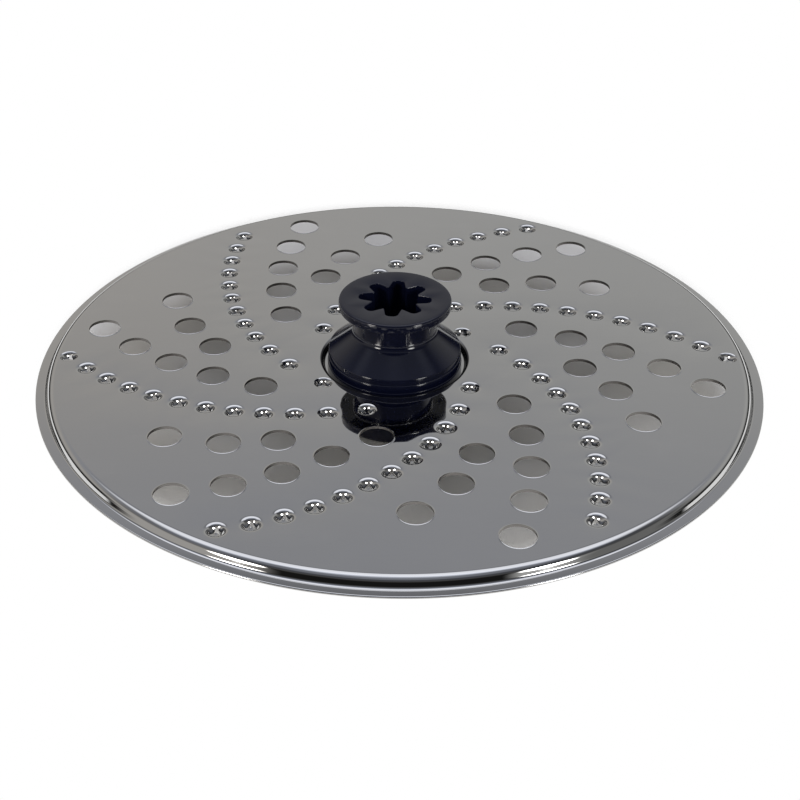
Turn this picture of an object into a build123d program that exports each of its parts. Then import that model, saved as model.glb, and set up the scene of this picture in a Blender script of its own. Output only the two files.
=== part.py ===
from build123d import *
import math
import os

# Grating disc of a food processor: a stainless steel plate, pressed up between its rim and a
# round well in its middle, clamped between a moulded drive hub above and a closed cap below.
# Millimetres, +Z up, origin on the axis at the foot of the cap, which is what the disc stands on.

# Steel plate
disc_diameter = 178.0
sheet = 0.6               # thickness of the steel
rim_width = 2.0           # level flange outside the step
step_drop = 2.2           # the flange and the well's floor lie this far below the plate
step_slope = 65.0         # degrees from level
bend_radius = 2.0         # upper bend of the step, on its outside
root_radius = 0.8         # lower bend of the step, on its inside
well_diameter = 37.0      # mouth of the well that the hub stands in
well_slope = 80.0         # degrees from level
well_bend_radius = 0.65   # upper bend of the well, on its outside
well_root_radius = 0.2    # lower bend of the well, on its inside

# Pattern: each sector holds one curved arm of burrs and two curved rows of round holes
sectors = 6
hole_diameter = 8.1
long_row_margin = 8.2     # outermost hole centre to the start of the step
long_row_pitch = 10.2     # radial distance between neighbouring holes
long_row_count = 5
long_row_curve = 94.0     # radius of the arc that the row lies on
long_row_clearance = 18.0  # that arc passes the axis at this distance
long_row_bearing = -206.0  # degrees
short_row_margin = 20.15
short_row_pitch = 9.27
short_row_count = 3
short_row_curve = 46.7
short_row_clearance = 7.7
short_row_bearing = -191.9
arm_pitch = 5.2           # radial distance between neighbouring burrs
arm_shifts = 3            # an arm lies this fraction of a pitch further in than the one before it
arm_curve = 76.0
arm_bearing = 117.1
arm_to_well = 1.5         # least distance between an arm's arc and the mouth of the well
burr_to_step = 0.35       # outermost burr's mouth to the start of the step

# One burr: a funnel pressed through the sheet and torn into petals
burr_diameter = 4.2       # mouth of the funnel, across its flat facets
burr_depth = 1.8          # from the plate's upper face to the tips of the petals
burr_tip = 0.5            # radius left open between the tips
tip_thickness = 0.4       # the steel is drawn thin towards the tips
tear_radius = 1.75        # the tears between the petals start here
petals = 3
facets_per_petal = 2      # one facet is a petal, the other a tear
petal_bearing = -90.0     # the same for every burr

# Drive hub above the plate
hub_height = 16.8         # heights of the hub are from the plate's upper face
flange_diameter = 33.2    # the two flanges that clamp the floor of the well
flange_top = 1.2
flange_rounding = 0.3
ledge_width = 0.35        # the upright skirt under the cone stands in this far from the flange's edge
skirt_top = 2.5
skirt_rounding = 0.6
neck_diameter = 19.7
neck_bottom = 8.0
neck_rounding = 0.8
head_diameter = 27.5
head_thickness = 2.4
head_rounding = 0.6

# Star socket in the hub
lobes = 8
core_radius = 5.7         # to the tips of the teeth between the lobes
lobe_reach = 8.8          # radius to the ends of the lobes
lobe_end = 1.2            # radius of a lobe's rounded end
lobe_mouth = 3.6          # width of a lobe inside the core
lobe_bearing = -5.7

# Spigot of the hub, keyed through the plate into the cap
spigot_diameter = 25.0
lugs = 4
lug_width = 4.0
lug_height = 2.0          # lugs stand out this far from the spigot
lug_depth = 3.0           # lugs reach this far below the well
fit_gap = 0.1             # clearance all round where pieces fit together

# Cap below the plate
cap_height = 13.8
cap_floor = 2.5
cap_flange_thickness = 1.2
cap_ledge_width = 1.6
cap_foot_diameter = 29.0
cap_foot_rounding = 1.5

# Heights and radii that follow
well_floor = cap_height + sheet
plate_top = well_floor + step_drop
plate_under = plate_top - sheet
hub_top = plate_top + hub_height
slope = math.radians(step_slope)
well_lean = math.radians(well_slope)
disc_radius = disc_diameter / 2
root_corner = disc_radius - rim_width - root_radius * math.tan(slope / 2)
bend_corner = root_corner - step_drop / math.tan(slope)
flat_radius = bend_corner - bend_radius * math.tan(slope / 2)
well_radius = well_diameter / 2
well_corner = well_radius - well_bend_radius * math.tan(well_lean / 2)
floor_corner = well_corner - step_drop / math.tan(well_lean)
burr_radius = burr_diameter / 2
flange_radius = flange_diameter / 2
skirt_radius = flange_radius - ledge_width
neck_radius = neck_diameter / 2
head_radius = head_diameter / 2
spigot_radius = spigot_diameter / 2


def turned(corners):
    """Solid turned about Z from corners given as radius, height and rounding."""
    outline = Polygon(*[(radius, height) for radius, height, _ in corners], align=None)
    for radius, height, rounding in corners:
        if rounding:
            corner = outline.vertices().sort_by_distance((radius, height))[0]
            outline = fillet(corner, rounding)
    return revolve(Plane.XZ * outline, Axis.Z)


def keyed_outline(gap):
    """Outline of the spigot with its lugs, widened all round by a gap."""
    reach = spigot_radius + lug_height + gap
    lug = Pos(reach / 2, 0) * Rectangle(reach, lug_width + 2 * gap)
    turns = [Rot(0, 0, turn * 360 / lugs) for turn in range(lugs)]
    return Circle(spigot_radius + gap) + [turn * lug for turn in turns]


def arc_point(radius, curve, clearance, bearing):
    """Point at a radius on an arc that passes the axis at a clearance."""
    centre = curve - clearance
    swing = math.acos((radius**2 + centre**2 - curve**2) / (2 * radius * centre))
    return Vector(radius, 0).rotate(Axis.Z, bearing + math.degrees(swing))


def places(points, sector):
    """Points turned into a sector, as places on the plate's upper face."""
    moved = [point.rotate(Axis.Z, sector * 360 / sectors) for point in points]
    return [Pos(point.X, point.Y, plate_top) for point in moved]


# Plate blank: its upper face from the well out to the rim, then its underside on the cap's level
step_shift = sheet * math.tan(slope / 2)
well_shift = sheet * math.tan(well_lean / 2)
blank = turned([
    (0, well_floor, 0),
    (floor_corner, well_floor, well_root_radius),
    (well_corner, plate_top, well_bend_radius),
    (bend_corner, plate_top, bend_radius),
    (root_corner, well_floor, root_radius),
    (disc_radius, well_floor, 0),
    (disc_radius, cap_height, 0),
    (root_corner - step_shift, cap_height, root_radius + sheet),
    (bend_corner - step_shift, plate_under, bend_radius - sheet),
    (well_corner + well_shift, plate_under, well_bend_radius - sheet),
    (floor_corner + well_shift, cap_height, well_root_radius + sheet),
    (0, cap_height, 0),
])


# Burr: the funnel's wall is made facet by facet, and some facets run on inwards as petals
def funnel_section(inner_radius):
    """Half section of the funnel's wall from its mouth in to a radius."""
    share = (burr_radius - inner_radius) / (burr_radius - burr_tip)
    upper = -share * burr_depth
    lower = upper - sheet + share * (sheet - tip_thickness)
    corners = [(burr_radius, 0), (inner_radius, upper), (inner_radius, lower), (burr_radius, -sheet)]
    return Plane.XZ * Polygon(*corners, align=None)


facets = petals * facets_per_petal
facet_half = burr_radius * math.tan(math.pi / facets)
facet_plan = Polygon((0, 0), (burr_radius, -facet_half), (burr_radius, facet_half), align=None)
facet_wedge = extrude(facet_plan, amount=2 * burr_depth, both=True)
petal = extrude(funnel_section(burr_tip), amount=facet_half, both=True) & facet_wedge
wall = extrude(funnel_section(tear_radius), amount=facet_half, both=True) & facet_wedge
burr_pieces = []
for facet in range(facets):
    shape = wall if facet % facets_per_petal else petal
    burr_pieces.append(Rot(0, 0, petal_bearing + facet * 360 / facets) * shape)
burr = burr_pieces[0].fuse(*burr_pieces[1:])
mouth_bearing = petal_bearing + 180 / facets
mouth_plan = RegularPolygon(burr_radius, facets, major_radius=False, rotation=mouth_bearing)
mouth = extrude(mouth_plan, amount=2 * sheet, both=True)
hole = Cylinder(hole_diameter / 2, 4 * sheet)

# Places of the holes and burrs, worked inwards from the step
long_row = []
for i in range(long_row_count):
    radius = flat_radius - long_row_margin - i * long_row_pitch
    long_row.append(arc_point(radius, long_row_curve, long_row_clearance, long_row_bearing))
short_row = []
for i in range(short_row_count):
    radius = flat_radius - short_row_margin - i * short_row_pitch
    short_row.append(arc_point(radius, short_row_curve, short_row_clearance, short_row_bearing))
arm_start = flat_radius - burr_radius - burr_to_step
arm_end = well_radius + burr_radius
arm_clearance = well_radius + arm_to_well
arm_shift = arm_pitch / arm_shifts
arm_count = 1 + int((arm_start - arm_end - (arm_shifts - 1) * arm_shift) / arm_pitch)

hole_places = []
burr_places = []
for sector in range(sectors):
    shift = sector % arm_shifts * arm_shift
    arm = []
    for i in range(arm_count):
        radius = arm_start - shift - i * arm_pitch
        arm.append(arc_point(radius, arm_curve, arm_clearance, arm_bearing))
    hole_places += places(long_row + short_row, sector)
    burr_places += places(arm, sector)

key_hole = extrude(keyed_outline(fit_gap), amount=hub_top)
cutters = [place * hole for place in hole_places] + [place * mouth for place in burr_places]
grating_plate = blank.cut(key_hole, *cutters).fuse(*[place * burr for place in burr_places])

# Drive hub: turned body and keyed spigot, with the star socket cut right through
hub_body = turned([
    (0, well_floor, 0),
    (flange_radius, well_floor, 0),
    (flange_radius, plate_top + flange_top, flange_rounding),
    (skirt_radius, plate_top + flange_top, 0),
    (skirt_radius, plate_top + skirt_top, skirt_rounding),
    (neck_radius, plate_top + neck_bottom, neck_rounding),
    (neck_radius, hub_top - head_thickness, 0),
    (head_radius, hub_top - head_thickness, head_rounding),
    (head_radius, hub_top, head_rounding),
    (0, hub_top, 0),
])
spigot = extrude(Pos(0, 0, cap_floor) * Circle(spigot_radius), amount=well_floor - cap_floor)
lug_ring = extrude(Pos(0, 0, cap_height - lug_depth) * keyed_outline(0), amount=sheet + lug_depth)
lobe_centre = lobe_reach - lobe_end
lobe_start = core_radius - lobe_end
lobe_sides = Polygon(
    (lobe_start, -lobe_mouth / 2),
    (lobe_centre, -lobe_end),
    (lobe_centre, lobe_end),
    (lobe_start, lobe_mouth / 2),
    align=None,
)
lobe = lobe_sides + Pos(lobe_centre, 0) * Circle(lobe_end)
star = Circle(core_radius) + [Rot(0, 0, lobe_bearing + turn * 360 / lobes) * lobe for turn in range(lobes)]
drive_hub = hub_body + spigot + lug_ring - extrude(star, amount=hub_top)

# Cap: closed at the foot, with a keyed recess that the spigot stands in
cap_body = turned([
    (0, 0, 0),
    (cap_foot_diameter / 2, 0, cap_foot_rounding),
    (flange_radius - cap_ledge_width, cap_height - cap_flange_thickness, 0),
    (flange_radius, cap_height - cap_flange_thickness, flange_rounding),
    (flange_radius, cap_height, 0),
    (0, cap_height, 0),
])
recess = extrude(Pos(0, 0, cap_floor) * Circle(spigot_radius + fit_gap), amount=cap_height)
lug_slots = Pos(0, 0, cap_height - lug_depth - fit_gap) * key_hole
hub_cap = cap_body - recess - lug_slots

os.makedirs("parts", exist_ok=True)
export_step(grating_plate, "parts/grating_plate.step")
export_step(drive_hub, "parts/drive_hub.step")
export_step(hub_cap, "parts/hub_cap.step")
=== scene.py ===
import bmesh
import bpy
import math
import random
from mathutils import Matrix, Vector
from mathutils.geometry import delaunay_2d_cdt


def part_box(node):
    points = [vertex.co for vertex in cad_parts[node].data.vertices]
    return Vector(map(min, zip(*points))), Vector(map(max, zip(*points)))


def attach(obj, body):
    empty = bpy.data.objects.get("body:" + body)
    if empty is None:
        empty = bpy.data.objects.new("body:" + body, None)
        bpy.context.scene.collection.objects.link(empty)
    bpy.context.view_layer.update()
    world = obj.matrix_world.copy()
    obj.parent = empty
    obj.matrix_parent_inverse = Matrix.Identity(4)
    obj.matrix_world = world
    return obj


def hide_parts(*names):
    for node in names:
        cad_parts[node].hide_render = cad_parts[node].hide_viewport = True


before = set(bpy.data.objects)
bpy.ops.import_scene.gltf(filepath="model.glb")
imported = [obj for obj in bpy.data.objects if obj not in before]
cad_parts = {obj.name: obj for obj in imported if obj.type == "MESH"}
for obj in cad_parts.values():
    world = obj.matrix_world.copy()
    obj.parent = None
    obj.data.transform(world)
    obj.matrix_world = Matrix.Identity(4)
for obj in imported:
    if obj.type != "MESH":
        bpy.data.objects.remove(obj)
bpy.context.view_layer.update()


# Grating plate: one pressing in polished stainless sheet, raised between its rim and a well in
# the middle, with punched holes and burrs that a three-sided punch has pressed down and torn
# open. The hub and the cap clamp the floor of the well.
mm = 0.001
_, plate_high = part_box("grating_plate")
plate_top = plate_high.z
sheet = 0.6 * mm
step_drop = 2.2 * mm
rim_top = plate_top - step_drop
plate_under = plate_top - sheet

disc_radius = 89 * mm
rim_width = 2.0 * mm
edge_rounding = 0.28 * mm
step_slope = math.radians(65)
bend_radius = 2.0 * mm
root_radius = 0.8 * mm
root_corner = disc_radius - rim_width - root_radius * math.tan(step_slope / 2)
bend_corner = root_corner - step_drop / math.tan(step_slope)
flat_radius = bend_corner - bend_radius * math.tan(step_slope / 2)
rim_sides = 288
rim_bend_steps = 7

well_radius = 18.6 * mm
well_depth = 1.4 * mm
well_slope = math.radians(68)
well_bend_radius = 0.9 * mm
well_root_radius = 0.2 * mm
well_floor = plate_top - well_depth
floor_under = rim_top - sheet
well_corner = well_radius - well_bend_radius * math.tan(well_slope / 2)
floor_corner = well_corner - well_depth / math.tan(well_slope)
middle_hole_radius = 12.6 * mm
well_sides = 192
well_bend_steps = 6


def within(point, loop):
    """Whether a point lies inside a loop of points, seen in plan."""
    crossings = 0
    for one, other in zip(loop, loop[1:] + loop[:1]):
        if (one.y > point.y) != (other.y > point.y):
            crossings += point.x < one.x + (point.y - one.y) / (other.y - one.y) * (other.x - one.x)
    return crossings % 2 == 1


class Shell:
    """The points and faces of a piece while it is being made."""

    def __init__(self):
        self.points = []
        self.faces = []

    def row(self, points):
        """Adds points and returns their numbers."""
        first = len(self.points)
        self.points.extend(Vector(point) for point in points)
        return list(range(first, len(self.points)))

    def ring(self, radius, height, count, centre=(0, 0)):
        """Adds a level circle of points."""
        turns = [math.tau * i / count for i in range(count)]
        return self.row([
            (centre[0] + radius * math.cos(turn), centre[1] + radius * math.sin(turn), height)
            for turn in turns
        ])

    def band(self, one, other, closed=True):
        """Joins two rows of the same length with quads."""
        count = len(one)
        for i in range(count if closed else count - 1):
            j = (i + 1) % count
            self.faces.append((one[i], one[j], other[j], other[i]))

    def bands(self, rows):
        """Joins each closed row to the next."""
        for one, other in zip(rows, rows[1:]):
            self.band(one, other)

    def turned(self, outline, count):
        """Turns an outline of (radius, height) points about Z and returns its rings."""
        rings = [self.ring(point.x, point.y, count) for point in outline]
        self.bands(rings)
        return rings

    def fill(self, outer, holes=(), twin=None):
        """Fills a level outline round its holes, and its twin below in the same way."""
        loops = [outer, *holes]
        numbers = [number for loop in loops for number in loop]
        owners = [owner for owner, loop in enumerate(loops) for _ in loop]
        edges = []
        for loop in loops:
            first = len(edges)
            edges.extend((first + i, first + (i + 1) % len(loop)) for i in range(len(loop)))
        plan = [self.points[number].xy for number in numbers]
        inside_outline = 1
        closeness = 1e-9
        made = delaunay_2d_cdt(plan, edges, [], inside_outline, closeness)
        triangles, sources = made[2], made[3]
        for triangle in triangles:
            picks = [sources[corner][0] for corner in triangle]
            owner = owners[picks[0]]
            if owner and all(owners[pick] == owner for pick in picks):
                middle = sum((plan[pick] for pick in picks), Vector((0, 0))) / 3
                if within(middle, [self.points[number] for number in loops[owner]]):
                    continue
            self.faces.append([numbers[pick] for pick in picks])
            if twin:
                self.faces.append([twin[pick] for pick in reversed(picks)])

    def make(self, name, material, node, slot):
        """Makes the object, smooth but for its sharp edges, in place of a CAD node."""
        sharp_from = math.radians(38)
        mesh = bpy.data.meshes.new(name)
        mesh.from_pydata(self.points, [], self.faces)
        work = bmesh.new()
        work.from_mesh(mesh)
        bmesh.ops.recalc_face_normals(work, faces=work.faces)
        work.to_mesh(mesh)
        work.free()
        mesh.shade_smooth()
        mesh.set_sharp_from_angle(angle=sharp_from)
        mesh.materials.append(material)
        piece = bpy.data.objects.new(name, mesh)
        bpy.context.collection.objects.link(piece)
        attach(piece, "root")
        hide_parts(node)


def rounded(corners, steps):
    """Points of an outline given by corners (x, y, rounding)."""
    outline = []
    count = len(corners)
    for i, (x, y, rounding) in enumerate(corners):
        here = Vector((x, y))
        if not rounding:
            outline.append(here)
            continue
        back = (Vector(corners[i - 1][:2]) - here).normalized()
        ahead = (Vector(corners[(i + 1) % count][:2]) - here).normalized()
        half = back.angle(ahead) / 2
        centre = here + (back + ahead).normalized() * (rounding / math.sin(half))
        start = back * (rounding / math.tan(half)) + here - centre
        sweep = math.pi - 2 * half
        side = 1 if back.cross(ahead) < 0 else -1
        for step in range(steps + 1):
            outline.append(centre + Matrix.Rotation(side * sweep * step / steps, 2) @ start)
    return outline


# Places of the holes and burrs: two rows of holes and an arm of burrs to a sector, each on an arc
# and worked inwards from the step. A row of holes has its count, the first hole's distance from
# the step, its pitch, the arc's curve and clearance from the axis, all in mm, and its bearing.
sectors = 6
hole_radius = 4.05 * mm
hole_sides = 48
hole_rows = [(5, 8.2, 10.2, 94, 18, -206), (3, 20.15, 9.27, 46.7, 7.7, -191.9)]
arm_burrs = 12
arm_inset = 2.45 * mm
arm_pitch = 5.2 * mm
arm_stagger = 3
arm_curve = 76 * mm
arm_clearance = 20 * mm
arm_bearing = 117.1


def arc_point(radius, curve, clearance, bearing, sector):
    """Point at a radius on an arc that passes the axis at a clearance, turned into a sector."""
    centre = curve - clearance
    swing = math.acos((radius**2 + centre**2 - curve**2) / (2 * radius * centre))
    turn = math.radians(bearing + sector * 360 / sectors) + swing
    return Vector((radius * math.cos(turn), radius * math.sin(turn)))


hole_places = []
burr_places = []
for sector in range(sectors):
    for count, inset, pitch, curve, clearance, bearing in hole_rows:
        for i in range(count):
            radius = flat_radius - inset * mm - i * pitch * mm
            hole_places.append(arc_point(radius, curve * mm, clearance * mm, bearing, sector))
    arm_start = flat_radius - arm_inset - sector % arm_stagger * arm_pitch / arm_stagger
    for i in range(arm_burrs):
        radius = arm_start - i * arm_pitch
        burr_places.append(arc_point(radius, arm_curve, arm_clearance, arm_bearing, sector))

# The burr's wall leans more and more from the level plate to the tears. Each knot has its radius in
# mm and the slope there in degrees. The first petal lies nearly level and the other two hang down.
# Petals differ a little by chance: their bend is in degrees, their drift in mm as the knots are.
burr_knots = [(3.0, 0), (2.75, 4.5), (2.52, 11), (2.33, 21), (2.13, 33), (1.98, 47), (1.84, 56)]
burr_sides = 36
tear_sides = 2
petals = 3
petal_bearing = -90
petal_tip_radii = [0.47 * mm, 0.93 * mm, 0.93 * mm]
petal_tip_widths = [0.38 * mm, 1.4 * mm, 1.4 * mm]
petal_slopes = [(4, 1, -3, -8), (54, 58, 62, 64), (54, 58, 62, 64)]
petal_rows = 4
petal_bend = 3
petal_drift = 0.12
petal_curl = 0.1 * mm
burr_seed = 7
wall_thinning = 0.7
thinned_at = 0.5
tip_thickness = 0.26 * mm
burr_margin = 0.05
first_land = 0.03


def burr(shell, place, chance):
    """Adds one torn funnel and returns its outer rings above and below the sheet."""
    upper, lower = [], []
    height = plate_top
    room = min(flat_radius - place.length, place.length - well_radius) / mm - burr_margin
    knots = [knot for knot in burr_knots if knot[0] < room]
    if len(knots) < len(burr_knots):
        knots = [(room, 0), (room - first_land, 0)] + knots
    previous = knots[0]
    for knot in knots:
        lean = math.radians((knot[1] + previous[1]) / 2)
        height -= (previous[0] - knot[0]) * mm * math.tan(lean)
        depth = (plate_top - height) / mm
        thickness = sheet * (1 - (1 - wall_thinning) * min(1, depth / thinned_at))
        upper.append(shell.ring(knot[0] * mm, height, burr_sides, place))
        lower.append(shell.ring(knot[0] * mm, height - thickness, burr_sides, place))
        previous = knot
    shell.bands(upper)
    shell.bands(lower)
    edge_radius = burr_knots[-1][0] * mm
    petal_sides = burr_sides // petals - tear_sides
    for petal in range(petals):
        middle = petal_bearing + petal * 360 / petals
        first = round(middle * burr_sides / 360) - petal_sides // 2
        base = [(first + i) % burr_sides for i in range(petal_sides + 1)]
        tear = [(first + petal_sides + i) % burr_sides for i in range(tear_sides + 1)]
        shell.band([upper[-1][i] for i in tear], [lower[-1][i] for i in tear], closed=False)
        inward = -Vector((math.cos(math.radians(middle)), math.sin(math.radians(middle))))
        across = Vector((inward.y, -inward.x))
        bend = chance.uniform(-petal_bend, petal_bend)
        drift = chance.uniform(-petal_drift, petal_drift) * mm
        rows = [([upper[-1][i] for i in base], [lower[-1][i] for i in base])]
        level = height
        run = (edge_radius - petal_tip_radii[petal]) / petal_rows
        half_turn = math.pi * petal_sides / burr_sides
        half_base = edge_radius * math.sin(half_turn)
        for row in range(1, petal_rows + 1):
            share = row / petal_rows
            level -= run * math.tan(math.radians(petal_slopes[petal][row - 1] + bend))
            half = half_base + (petal_tip_widths[petal] / 2 - half_base) * share
            thickness = sheet * wall_thinning + (tip_thickness - sheet * wall_thinning) * share
            tops, bottoms = [], []
            for i in range(petal_sides + 1):
                part = 2 * i / petal_sides - 1
                sag = edge_radius * (1 - math.cos(part * half_turn)) * (1 - share)
                flat = place - inward * (edge_radius - run * row - sag)
                flat = flat + across * (part * half + drift * share)
                curl = part**2 * petal_curl * share
                tops.append((flat.x, flat.y, level - curl))
                bottoms.append((flat.x, flat.y, level - curl - thickness))
            rows.append((shell.row(tops), shell.row(bottoms)))
        for (top, bottom), (next_top, next_bottom) in zip(rows, rows[1:]):
            shell.band(top, next_top, closed=False)
            shell.band(bottom, next_bottom, closed=False)
            shell.faces.append((top[0], next_top[0], next_bottom[0], bottom[0]))
            shell.faces.append((top[-1], next_top[-1], next_bottom[-1], bottom[-1]))
        shell.band(*rows[-1], closed=False)
    return upper[0], lower[0]


# Section of a hole's edge, from the level plate up over the raised lip: outwards and upwards in mm
lip = [(0.4, 0), (0.36, 0), (0.26, 0.006), (0.16, 0.02), (0.08, 0.036), (0.02, 0.052), (0, 0.058)]


def punched_hole(shell, place):
    """Adds a hole with a raised upper edge and returns its outer rings above and below the sheet."""
    section = [(hole_radius + out * mm, plate_top + rise * mm) for out, rise in lip]
    section += [(hole_radius, plate_under), (section[0][0], plate_under)]
    rings = [shell.ring(radius, height, hole_sides, place) for radius, height in section]
    shell.bands(rings)
    return rings[0], rings[-1]


def plate_mesh():
    """The whole pressing: rim, level plate with its holes, burrs and the well."""
    shell = Shell()
    land = 0.02 * mm
    step_shift = sheet * math.tan(step_slope / 2)
    rim = shell.turned(rounded([
        (flat_radius - land, plate_top, 0),
        (bend_corner, plate_top, bend_radius),
        (root_corner, rim_top, root_radius),
        (plate_high.x, rim_top, edge_rounding),
        (plate_high.x, floor_under, edge_rounding),
        (root_corner - step_shift, floor_under, root_radius + sheet),
        (bend_corner - step_shift, plate_under, bend_radius - sheet),
        (flat_radius - land, plate_under, 0),
    ], rim_bend_steps), rim_sides)
    well_shift = sheet * math.tan(well_slope / 2)
    well = shell.turned(rounded([
        (well_radius + land, plate_top, 0),
        (well_corner, plate_top, well_bend_radius),
        (floor_corner, well_floor, well_root_radius),
        (middle_hole_radius, well_floor, 0),
        (middle_hole_radius, floor_under, 0),
        (floor_corner + well_shift, floor_under, well_root_radius + sheet),
        (well_corner + well_shift, plate_under, well_bend_radius - sheet),
        (well_radius + land, plate_under, 0),
    ], well_bend_steps), well_sides)
    chance = random.Random(burr_seed)
    edges = [burr(shell, place, chance) for place in burr_places]
    edges += [punched_hole(shell, place) for place in hole_places]
    edges.append((well[0], well[-1]))
    lower_loops = [rim[-1]] + [lower for _, lower in edges]
    lower_numbers = [number for loop in lower_loops for number in loop]
    shell.fill(rim[0], [upper for upper, _ in edges], lower_numbers)
    return shell


class Shade:
    """A node's output, for use in sums and as the input of other nodes."""

    def __init__(self, tree, output):
        self.tree = tree
        self.output = output

    def node(self, kind, inputs, output=0, **settings):
        """Adds a node, with each input fed by a shade or set to a plain value."""
        made = self.tree.nodes.new("ShaderNode" + kind)
        for name, value in settings.items():
            setattr(made, name, value)
        for name, value in inputs.items():
            if isinstance(value, Shade):
                self.tree.links.new(value.output, made.inputs[name])
            else:
                made.inputs[name].default_value = value
        return Shade(self.tree, made.outputs[output])

    def math(self, operation, first, second):
        return self.node("Math", {0: first, 1: second}, operation=operation)

    def __add__(self, other):
        return self.math("ADD", self, other)

    def __sub__(self, other):
        return self.math("SUBTRACT", self, other)

    def __mul__(self, other):
        return self.math("MULTIPLY", self, other)

    def __truediv__(self, other):
        return self.math("DIVIDE", self, other)

    def __radd__(self, other):
        return self.math("ADD", other, self)

    def __rsub__(self, other):
        return self.math("SUBTRACT", other, self)

    def __rmul__(self, other):
        return self.math("MULTIPLY", other, self)

    def __rtruediv__(self, other):
        return self.math("DIVIDE", other, self)

    def stretched(self, amounts):
        """The place with each axis stretched."""
        return self.node("VectorMath", {0: self, 1: amounts}, operation="MULTIPLY")

    def noise(self, scale, detail):
        """Soft noise from 0 to 1 at this place."""
        return self.node("TexNoise", {"Vector": self, "Scale": scale, "Detail": detail})

    def ramp(self, low, high):
        """0 below low and 1 above high, smooth between."""
        limits = {"Value": self, "From Min": low, "From Max": high}
        return self.node("MapRange", limits, interpolation_type="SMOOTHSTEP")

    def colour(self, low, high):
        """A colour between two, by this value."""
        low, high = [end if isinstance(end, Shade) else (*end, 1) for end in (low, high)]
        return self.node("Mix", {"Factor": self, 6: low, 7: high}, output=2, data_type="RGBA")

    def axes(self):
        """The three parts of a place or a direction."""
        parts = self.node("SeparateXYZ", {"Vector": self})
        return [Shade(self.tree, output) for output in parts.output.node.outputs]

    def size(self):
        """The value without its sign."""
        return self.math("ABSOLUTE", self, 0)

    def bump(self, depth):
        """A normal from this value as a height, from 0 to a depth in metres."""
        return self.node("Bump", {"Height": self, "Distance": depth})

    def feed(self, shader, socket):
        self.tree.links.new(self.output, shader.inputs[socket])


def new_material(name, **constants):
    """A material, its shader with constant inputs set, and the place and facing on the piece."""
    material = bpy.data.materials.new(name)
    material.use_nodes = True
    tree = material.node_tree
    shader = tree.nodes["Principled BSDF"]
    for socket, value in constants.items():
        shader.inputs[socket].default_value = value
    coordinates = tree.nodes.new("ShaderNodeTexCoord")
    place, facing = [Shade(tree, coordinates.outputs[output]) for output in ("Object", "Normal")]
    return material, shader, place, facing


def polished_steel():
    """Rolled sheet, polished: faint rolling lines, smears, waves from pressing and dull cut edges whose
    dark colour is partly painted shade, and a painted dark ring of shade and reflection in the well.
    """
    material, steel, place, facing = new_material("polished_steel", Metallic=1.0)
    # Steep faces are the cut edges: rougher as a duller cut, and dark in colour as painted shade down
    # the holes
    cut_and_shade = 1 - facing.axes()[2].size().ramp(0.1, 0.2)
    lines = place.stretched((60, 5200, 60)).noise(1.0, 3.0)
    clouds = place.noise(24.0, 3.0)
    smears = place.stretched((1.0, 1.7, 1.0)).noise(70.0, 4.0).ramp(0.52, 0.74)
    tone = lines * 0.35 + clouds * 0.5 + smears * 0.15
    sheet_colour = tone.colour((0.585, 0.585, 0.58), (0.655, 0.652, 0.645))
    # Painted shade and painted dark reflection of the hub on the drawn wall of the well, dark towards
    # the front
    in_plan = place.stretched((1, 1, 0))
    reach = place.node("VectorMath", {0: in_plan}, output="Value", operation="LENGTH")
    painted_well_shade = reach.ramp(17.15 * mm, 17.4 * mm) * (1 - reach.ramp(18.3 * mm, 18.6 * mm))
    painted_well_shade = painted_well_shade * (1 - place.axes()[1].ramp(3 * mm, 11 * mm))
    painted_well_shade_colour = painted_well_shade.colour(sheet_colour, (0.03, 0.03, 0.035))
    # Base colour: sheet tone, the painted dark ring in the well, and painted shade on the steep cut
    # faces
    cut_and_shade.colour(painted_well_shade_colour, (0.2, 0.19, 0.18)).feed(steel, "Base Color")
    polish = 0.02
    dulling = lines * 0.016 + smears * clouds * 0.08 + painted_well_shade * 0.1 + cut_and_shade * 0.35
    (polish + dulling).feed(steel, "Roughness")
    waves = place.noise(46.0, 1.0)
    wave_height = 0.04 * mm
    (waves + lines * 0.004).bump(wave_height).feed(steel, "Normal")
    return material


plate_mesh().make("grating_plate_steel", polished_steel(), "grating_plate", "steel")


# Drive hub: one gloss moulding in very dark blue plastic. Its flange stands in the well and its
# spigot passes through the middle hole into the cap; the star socket takes the drive shaft.
hub_low, hub_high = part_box("drive_hub")
hub_top = hub_high.z
hub_sides = 192
hub_bend_steps = 8
head_radius = 13.75 * mm
head_thickness = 2.4 * mm
head_land = 1.2 * mm
head_rounding = 0.6 * mm
neck_radius = 9.85 * mm
neck_bottom = plate_top + 8.0 * mm
neck_fillet = 2.0 * mm
skirt_radius = 16.25 * mm
skirt_top = plate_top + 3.2 * mm
skirt_rounding = 0.35 * mm
ledge_radius = 16.45 * mm
ledge_rounding = 0.2 * mm
flange_radius = 16.6 * mm
flange_rounding = 0.12 * mm
flange_top = plate_top + 1.65 * mm
flange_foot = plate_top - 0.35 * mm
spigot_radius = 12.5 * mm
socket_edge = 0.25 * mm
edge_steps = 4
lobes = 8
lobe_bearing = -5.7
lobe_reach = 8.8 * mm
lobe_half_width = 1.28 * mm
lobe_rounding = 1.2 * mm
tooth_reach = 5.45 * mm
tooth_widening = 1.6
tooth_rounding = 0.4 * mm
star_steps = 6
hub_roughness = 0.06


def star_outline(widening):
    """Outline of the eight-lobed socket, widened all round."""
    corners = []
    for lobe in range(lobes):
        turn = Matrix.Rotation(math.radians(lobe_bearing + lobe * 360 / lobes), 2)
        end = turn @ Vector((lobe_reach + widening, 0))
        side = turn @ Vector((0, lobe_half_width + widening))
        tooth = Vector((tooth_reach + widening * tooth_widening, 0))
        tooth = Matrix.Rotation(math.pi / lobes, 2) @ turn @ tooth
        corners.append((*(end - side), lobe_rounding + widening))
        corners.append((*(end + side), lobe_rounding + widening))
        corners.append((*tooth, tooth_rounding - widening))
    return rounded(corners, star_steps)


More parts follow.
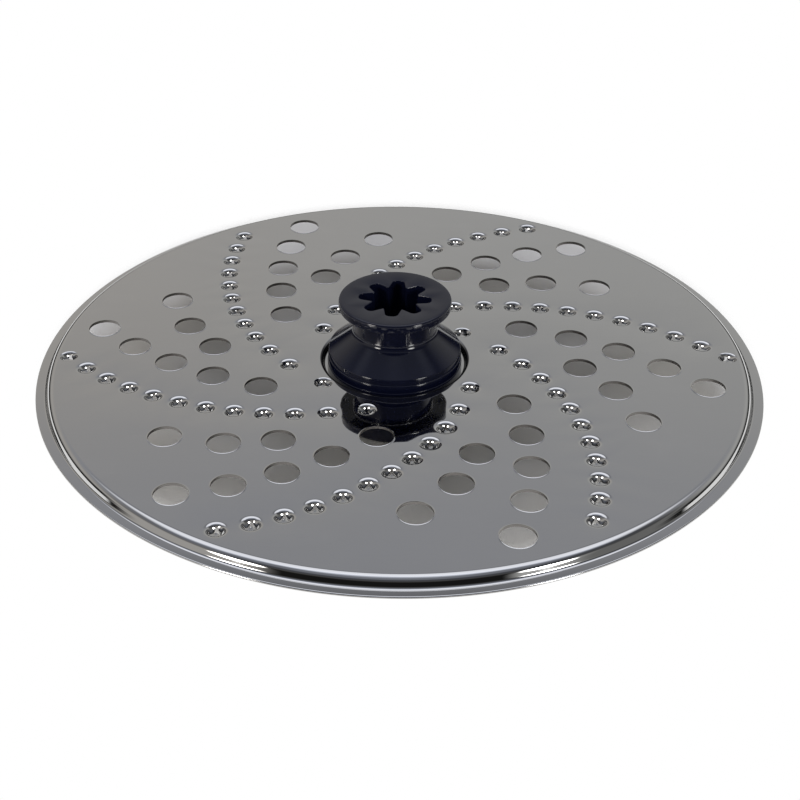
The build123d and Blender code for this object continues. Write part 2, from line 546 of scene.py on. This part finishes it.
def hub_mesh():
    """Turned outside, rounded edge of the socket, and the socket's walls."""
    shell = Shell()
    outside = shell.turned(rounded([
        (head_radius - head_land, hub_top, 0),
        (head_radius, hub_top, head_rounding),
        (head_radius, hub_top - head_thickness, head_rounding),
        (neck_radius, hub_top - head_thickness, head_rounding),
        (neck_radius, neck_bottom, neck_fillet),
        (skirt_radius, skirt_top, skirt_rounding),
        (skirt_radius, flange_top, 0),
        (ledge_radius, flange_top, ledge_rounding),
        (ledge_radius, flange_foot, 0),
        (flange_radius, flange_foot, flange_rounding),
        (flange_radius, well_floor, 0),
        (spigot_radius, well_floor, 0),
        (spigot_radius, hub_low.z, 0),
    ], hub_bend_steps), hub_sides)
    star = []
    for step in range(edge_steps + 1):
        turn = math.pi / 2 * step / edge_steps
        outline = star_outline(socket_edge * (1 - math.sin(turn)))
        height = hub_top - socket_edge * (1 - math.cos(turn))
        star.append(shell.row([(*point, height) for point in outline]))
    star.append(shell.row([(*point, hub_low.z) for point in star_outline(0)]))
    shell.bands(star)
    shell.fill(outside[0], [star[0]])
    shell.fill(outside[-1], [star[-1]])
    return shell


def dark_plastic(name, roughness):
    """Dark blue moulding: a slight orange peel, cloudy gloss, fine scuffs from washing."""
    material, plastic, place, _ = new_material(name, IOR=1.5)
    clouds = place.noise(160.0, 3.0)
    scuffs = place.stretched((900, 900, 90)).noise(1.0, 2.0).ramp(0.6, 0.8)
    clouds.colour((0.0042, 0.0055, 0.0178), (0.0056, 0.0073, 0.023)).feed(plastic, "Base Color")
    (roughness + clouds * 0.06 + scuffs * 0.05).feed(plastic, "Roughness")
    peel = place.noise(420.0, 1.0)
    peel_height = 0.008 * mm
    (peel + scuffs * 0.05).bump(peel_height).feed(plastic, "Normal")
    return material


hub_plastic = dark_plastic("hub_plastic", hub_roughness)
hub_mesh().make("drive_hub_moulding", hub_plastic, "drive_hub", "hub_plastic")


# Cap: a closed moulding in the same plastic that the spigot is welded into. Its flange holds
# the well from below and its flat foot is what the disc stands on.
cap_foot_radius = 14.5 * mm
cap_foot_land = 4 * mm
cap_foot_rounding = 1.5 * mm
cap_ledge_radius = 15 * mm
cap_ledge_fillet = 0.4 * mm
cap_flange = floor_under - 1.2 * mm
cap_flange_rounding = 0.3 * mm
recess_radius = spigot_radius + 0.1 * mm
cap_roughness = 0.42


def cap_mesh():
    """Turned outside with a flat foot, and the recess that holds the spigot."""
    shell = Shell()
    rings = shell.turned(rounded([
        (cap_foot_radius - cap_foot_land, 0, 0),
        (cap_foot_radius, 0, cap_foot_rounding),
        (cap_ledge_radius, cap_flange, cap_ledge_fillet),
        (flange_radius, cap_flange, cap_flange_rounding),
        (flange_radius, floor_under, 0),
        (recess_radius, floor_under, 0),
        (recess_radius, hub_low.z, 0),
    ], hub_bend_steps), hub_sides)
    shell.fill(rings[0])
    shell.fill(rings[-1])
    return shell


cap_plastic = dark_plastic("cap_plastic", cap_roughness)
cap_mesh().make("hub_cap_moulding", cap_plastic, "hub_cap", "cap_plastic")


# Studio: a white table under a soft light overhead, with a round soft light at each side of the
# camera, a grey wall behind and a dark room in front, which draws the black line round the rim.
# All of the light is in the world. The table fades out into the white below the horizon.
table_radius = 250 * mm
table_gap = 0.1 * mm
table_sides = 96
fade_middle = (0, 27 * mm, 0)
fade_start, fade_end = 83 * mm, 97 * mm


def white_table():
    """A round table top just under the foot that fades out round the disc."""
    material, paint, place, _ = new_material("table_white", Roughness=0.6)
    place.noise(6.0, 2.0).colour((0.85, 0.83, 0.795), (0.87, 0.85, 0.815)).feed(paint, "Base Color")
    inputs = {0: place, 1: fade_middle}
    away = place.node("VectorMath", inputs, output="Value", operation="DISTANCE")
    (1 - away.ramp(fade_start, fade_end)).feed(paint, "Alpha")
    shell = Shell()
    shell.fill(shell.ring(table_radius, -table_gap, table_sides))
    mesh = bpy.data.meshes.new("table")
    mesh.from_pydata(shell.points, [], shell.faces)
    mesh.materials.append(material)
    table = bpy.data.objects.new("table", mesh)
    bpy.context.collection.objects.link(table)


white_table()

world = bpy.data.worlds.new("studio")
bpy.context.scene.world = world
world.use_nodes = True
background = world.node_tree.nodes["Background"]
directions = world.node_tree.nodes.new("ShaderNodeTexCoord")
direction = Shade(world.node_tree, directions.outputs["Generated"])
side, depth, rise = direction.axes()

# Wall behind: grey, darker high up and nearly black along its foot
wall_grey = 0.455
wall = wall_grey - 0.1 * rise.ramp(0.42, 0.64) - 0.17 * rise.ramp(0.62, 0.76)
wall = wall * (0.04 + 0.96 * rise.ramp(0.1, 0.36))

# Dark room in front, a little paler towards the ceiling, with a low glow at the left and the right
left_level, right_level = 0.45, 0.5
left_glow = (0 - side).ramp(0.5, 0.68) * left_level * (1 - 0.75 * rise.ramp(0.35, 0.55))
right_glow = side.ramp(0.5, 0.6) * (1 - 0.65 * side.ramp(0.72, 0.85))
right_glow = right_glow * right_level * (1 - rise.ramp(0.35, 0.55))
low_and_behind = depth.ramp(-0.15, 0.1) * (1 - rise.ramp(0.2, 0.32))
glow = (left_glow + right_glow) * rise.ramp(0.0, 0.06) * (1 - low_and_behind)
dark = 0.012
front = dark + 0.07 * rise.ramp(0.36, 0.55) + 0.16 * rise.ramp(0.7, 0.86) + 0.25 * rise.ramp(0.93, 0.98)
front = front + glow
room = front + (wall - front) * depth.ramp(0.0, 0.4)

# Round lights at both sides of the camera, and the square one overhead, soft at its edges
spot_level = 15
for towards in ((-0.676, -0.653, 0.342), (0.676, -0.653, 0.342)):
    inputs = {0: direction, 1: towards}
    nearness = direction.node("VectorMath", inputs, output="Value", operation="DOT_PRODUCT")
    room = room + spot_level * nearness.ramp(0.986, 0.999)
above = rise.math("MAXIMUM", rise, 0.05)
along, across = depth / above, (side / above).size()
room = room + along.ramp(-0.2, 0.2) * (1 - along.ramp(0.6, 0.95)) * (1 - across.ramp(0.5, 0.95))

# Warmer at the left, cooler high up and coolest in front
left_to_right = side.ramp(-0.3, 0.12).colour((1.03, 0.995, 0.955), (1.0, 1.0, 0.99))
cool_high = rise.ramp(0.48, 0.66).colour(left_to_right, (0.96, 0.98, 1.06))
cool_front = (1 - depth.ramp(-0.1, 0.25)) * rise.ramp(0.5, 0.7)
tint = cool_front.colour(cool_high, (0.93, 0.98, 1.13))
room_colour = direction.node("VectorMath", {0: tint, "Scale": room}, operation="SCALE")

# Below the horizon: white where it is seen or mirrored, and grey as light on the disc
seeing_rays = ("Is Camera Ray", "Is Glossy Ray", "Is Transmission Ray")
seen = sum(direction.node("LightPath", {}, output=ray) for ray in seeing_rays)
floor_white = seen.colour((0.45, 0.45, 0.45), (1, 1, 1))
(1 - rise.ramp(-0.02, 0.0)).colour(room_colour, floor_white).feed(background, "Color")


# Camera: the place, aim and lens that the photograph was taken with. The shift is there because
# the photograph was cropped off centre.
camera = bpy.data.objects.new("camera", bpy.data.cameras.new("camera"))
bpy.context.collection.objects.link(camera)
bpy.context.scene.camera = camera
image_width = 800
focal_pixels = 1548.6
film_width = 36
camera.data.sensor_width = film_width
camera.data.lens = film_width * focal_pixels / image_width
camera.data.shift_x = 0.135
yaw, pitch, roll = math.radians(-4.69), math.radians(33.07), math.radians(-1.84)
level = Vector((math.cos(yaw), -math.sin(yaw), 0))
ahead = Vector((math.sin(yaw) * math.cos(pitch), math.cos(yaw) * math.cos(pitch), -math.sin(pitch)))
upright = level.cross(ahead)
right = level * math.cos(roll) + upright * math.sin(roll)
up = upright * math.cos(roll) - level * math.sin(roll)
spot = Vector((1.12 * mm, -329.24 * mm, plate_top + 201.92 * mm))
camera.matrix_world = Matrix.Translation(spot) @ Matrix((right, up, -ahead)).transposed().to_4x4()
camera.data.clip_start = 0.01

bpy.context.scene.view_settings.view_transform = "Standard"
